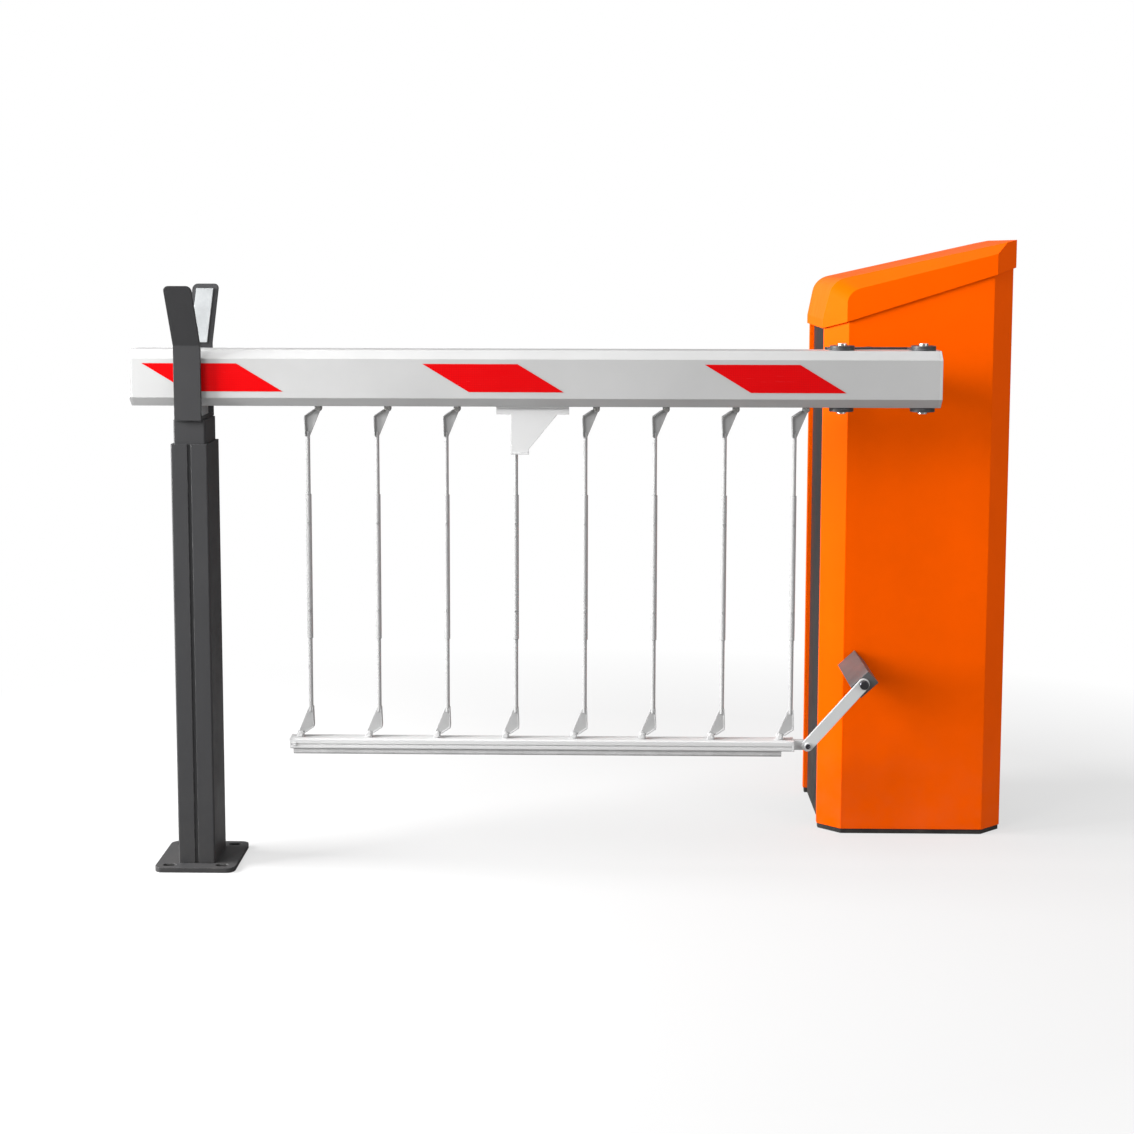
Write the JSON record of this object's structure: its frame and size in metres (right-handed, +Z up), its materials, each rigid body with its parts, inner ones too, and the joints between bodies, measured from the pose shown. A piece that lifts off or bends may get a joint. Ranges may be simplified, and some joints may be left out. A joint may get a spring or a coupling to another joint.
{
  "type": "parking barrier gate",
  "caption": "Parking barrier gate: octagonal cabinet with a sloped hood, lifting octagonal boom with a folding skirt of hanging bars, and a support post with a fork.",
  "frame": {"origin": "centre of the cabinet's four anchor slots, on the floor", "axes": "+X along the boom from its tip to its tail, +Y from the roadway to the service door, +Z up"},
  "size_m": [1.564, 0.5682, 1.0963],
  "materials": {
    "orange_paint": "satin orange powder coat",
    "panel_grey": "matt dark grey powder coat",
    "plinth_black": "black powder coat",
    "zinc_steel": "zinc plated",
    "bolt_zinc": "bright zinc",
    "link_bolt_dark": "blackened",
    "lock_chrome": "polished",
    "cast_grey": "painted casting",
    "motor_alu": "die cast",
    "stator_iron": "laminated",
    "gear_steel": "machined",
    "buffer_rubber": "matt",
    "controller_plastic": "fine texture",
    "boom_white": "white powder coat",
    "cap_white": "satin",
    "sticker_red": "retroreflective film",
    "clamp_anthracite": "anthracite",
    "skirt_white": "white powder coat",
    "rail_alu": "white powder coat",
    "edge_rubber": "light grey",
    "link_grey": "light grey",
    "post_anthracite": "anthracite powder coat",
    "pad_grey": "light grey"
  },
  "bodies": {
    "cabinet": {"base_frame": "plinth_black", "frame_uprights": "zinc_steel", "front_housing": "orange_paint", "side_panels": "panel_grey", "hood": "orange_paint", "hood_screws": "bolt_zinc", "machine_frame": "zinc_steel", "shaft_bearings": "cast_grey", "bearing_bolts": "bolt_zinc", "gearbox_housing": "cast_grey", "gearbox_cover": "cast_grey", "motor_housing": "motor_alu", "motor_stator": "stator_iron", "motor_end_cover": "motor_alu", "stop_buffers": "buffer_rubber", "controller_box": "controller_plastic", "link_bracket": "panel_grey", "link_pivot_bolt": "link_bolt_dark", "balance_spring": "zinc_steel", "shaft_collar": "plinth_black", "post_tube": "post_anthracite", "post_base": "post_anthracite", "door_hinge_leaves": "zinc_steel"},
    "door": {"rear_door": "orange_paint", "door_hinge_pins": "zinc_steel", "lock_body": "lock_chrome"},
    "lock": {"lock_core": "lock_chrome"},
    "fork": {"fork_tube": "post_anthracite", "support_fork": "post_anthracite", "fork_pads": "pad_grey"},
    "boom": {"main_shaft": "gear_steel", "shaft_lever": "gear_steel", "boom_saddle": "clamp_anthracite", "clamp_discs": "clamp_anthracite", "clamp_bolts": "bolt_zinc", "boom_profile": "boom_white", "boom_stickers": "sticker_red", "boom_end_caps": "cap_white", "skirt_hinge_lugs": "skirt_white", "skirt_hinge_pins": "bolt_zinc", "hanger_plate": "skirt_white"},
    "rail": {"skirt_rail": "rail_alu", "rail_edge": "edge_rubber", "rail_fittings": "rail_alu"},
    "link": {"link_arm": "link_grey"},
    "crank": {"crank": "gear_steel", "output_gear": "gear_steel"},
    "rotor": {"rotor": "stator_iron", "drive_pinion": "gear_steel"},
    "rod": {"connecting_rod": "gear_steel"},
    "spring_rod": {"spring_rod": "gear_steel"},
    "bar_1": {"hanging_bar_1": "skirt_white"},
    "bar_2": {"hanging_bar_2": "skirt_white"},
    "bar_3": {"hanging_bar_3": "skirt_white"},
    "bar_4": {"hanging_bar_4": "skirt_white"},
    "bar_5": {"hanging_bar_5": "skirt_white"},
    "bar_6": {"hanging_bar_6": "skirt_white"},
    "bar_7": {"hanging_bar_7": "skirt_white"},
    "bar_8": {"hanging_bar_8": "skirt_white"}
  },
  "joints": [
    {"name": "boom_lift", "type": "hinge", "parent": "cabinet", "child": "boom", "pos_m": [-0.095, 0, 0.858], "axis": [0, 1, 0], "range_deg": [0, 90], "deforming": ["balance_spring"]},
    {"name": "bar_1_swing", "type": "hinge", "parent": "boom", "child": "bar_1", "pos_m": [-1.0655, -0.305, 0.804], "axis": [0, 1, 0], "range_deg": [-84.5, 0]},
    {"name": "bar_2_swing", "type": "hinge", "parent": "boom", "child": "bar_2", "pos_m": [-0.9454, -0.305, 0.804], "axis": [0, 1, 0], "range_deg": [-84.5, 0]},
    {"name": "bar_3_swing", "type": "hinge", "parent": "boom", "child": "bar_3", "pos_m": [-0.8253, -0.305, 0.804], "axis": [0, 1, 0], "range_deg": [-84.5, 0]},
    {"name": "bar_4_swing", "type": "hinge", "parent": "boom", "child": "bar_4", "pos_m": [-0.7052, -0.305, 0.804], "axis": [0, 1, 0], "range_deg": [-84.5, 0]},
    {"name": "bar_5_swing", "type": "hinge", "parent": "boom", "child": "bar_5", "pos_m": [-0.5851, -0.305, 0.804], "axis": [0, 1, 0], "range_deg": [-84.5, 0]},
    {"name": "bar_6_swing", "type": "hinge", "parent": "boom", "child": "bar_6", "pos_m": [-0.465, -0.305, 0.804], "axis": [0, 1, 0], "range_deg": [-84.5, 0]},
    {"name": "bar_7_swing", "type": "hinge", "parent": "boom", "child": "bar_7", "pos_m": [-0.3449, -0.305, 0.804], "axis": [0, 1, 0], "range_deg": [-84.5, 0]},
    {"name": "bar_8_swing", "type": "hinge", "parent": "boom", "child": "bar_8", "pos_m": [-0.2248, -0.305, 0.804], "axis": [0, 1, 0], "range_deg": [-84.5, 0]},
    {"name": "rail_swing", "type": "hinge", "parent": "bar_8", "child": "rail", "pos_m": [-0.2628, -0.305, 0.229], "axis": [0, 1, 0], "range_deg": [0, 84.5]},
    {"name": "link_swing", "type": "hinge", "parent": "cabinet", "child": "link", "pos_m": [-0.11785, -0.305, 0.32437], "axis": [0, 1, 0], "range_deg": [0, 67.15]},
    {"name": "crank_turn", "type": "hinge", "parent": "cabinet", "child": "crank", "pos_m": [0.06, 0, 0.64], "axis": [0, 1, 0], "range_deg": [0, 90]},
    {"name": "rotor_spin", "type": "hinge", "parent": "cabinet", "child": "rotor", "pos_m": [0.06, 0, 0.7075], "axis": [0, 1, 0], "range_deg": [-450, 0]},
    {"name": "rod_swing", "type": "hinge", "parent": "crank", "child": "rod", "pos_m": [0.06999, 0, 0.69916], "axis": [0, 1, 0], "range_deg": [-90, 0]},
    {"name": "spring_rod_swing", "type": "hinge", "parent": "boom", "child": "spring_rod", "pos_m": [-0.05257, 0, 0.90043], "axis": [0, 1, 0], "range_deg": [-90, 0]},
    {"name": "door_swing", "type": "hinge", "parent": "cabinet", "child": "door", "pos_m": [0.176, 0.102, 0], "axis": [0, 0, -1], "range_deg": [0, 110]},
    {"name": "lock_turn", "type": "hinge", "parent": "door", "child": "lock", "pos_m": [-0.112, 0.145, 0.56], "axis": [0, 1, 0], "range_deg": [0, 90]},
    {"name": "fork_slide", "type": "slide", "parent": "cabinet", "child": "fork", "axis": [0, 0, 1], "range_m": [-0.04, 0]}
  ],
  "couplings": [
    {"joint": "bar_1_swing", "follows": "boom_lift", "ratio": -0.93889},
    {"joint": "bar_2_swing", "follows": "boom_lift", "ratio": -0.93889},
    {"joint": "bar_3_swing", "follows": "boom_lift", "ratio": -0.93889},
    {"joint": "bar_4_swing", "follows": "boom_lift", "ratio": -0.93889},
    {"joint": "bar_5_swing", "follows": "boom_lift", "ratio": -0.93889},
    {"joint": "bar_6_swing", "follows": "boom_lift", "ratio": -0.93889},
    {"joint": "bar_7_swing", "follows": "boom_lift", "ratio": -0.93889},
    {"joint": "bar_8_swing", "follows": "boom_lift", "ratio": -0.93889},
    {"joint": "rail_swing", "follows": "boom_lift", "ratio": 0.93889},
    {"joint": "link_swing", "follows": "boom_lift", "ratio": 0.74601},
    {"joint": "crank_turn", "follows": "boom_lift", "ratio": 1},
    {"joint": "rotor_spin", "follows": "boom_lift", "ratio": -5},
    {"joint": "rod_swing", "follows": "boom_lift", "ratio": -1},
    {"joint": "spring_rod_swing", "follows": "boom_lift", "ratio": -1}
  ]
}
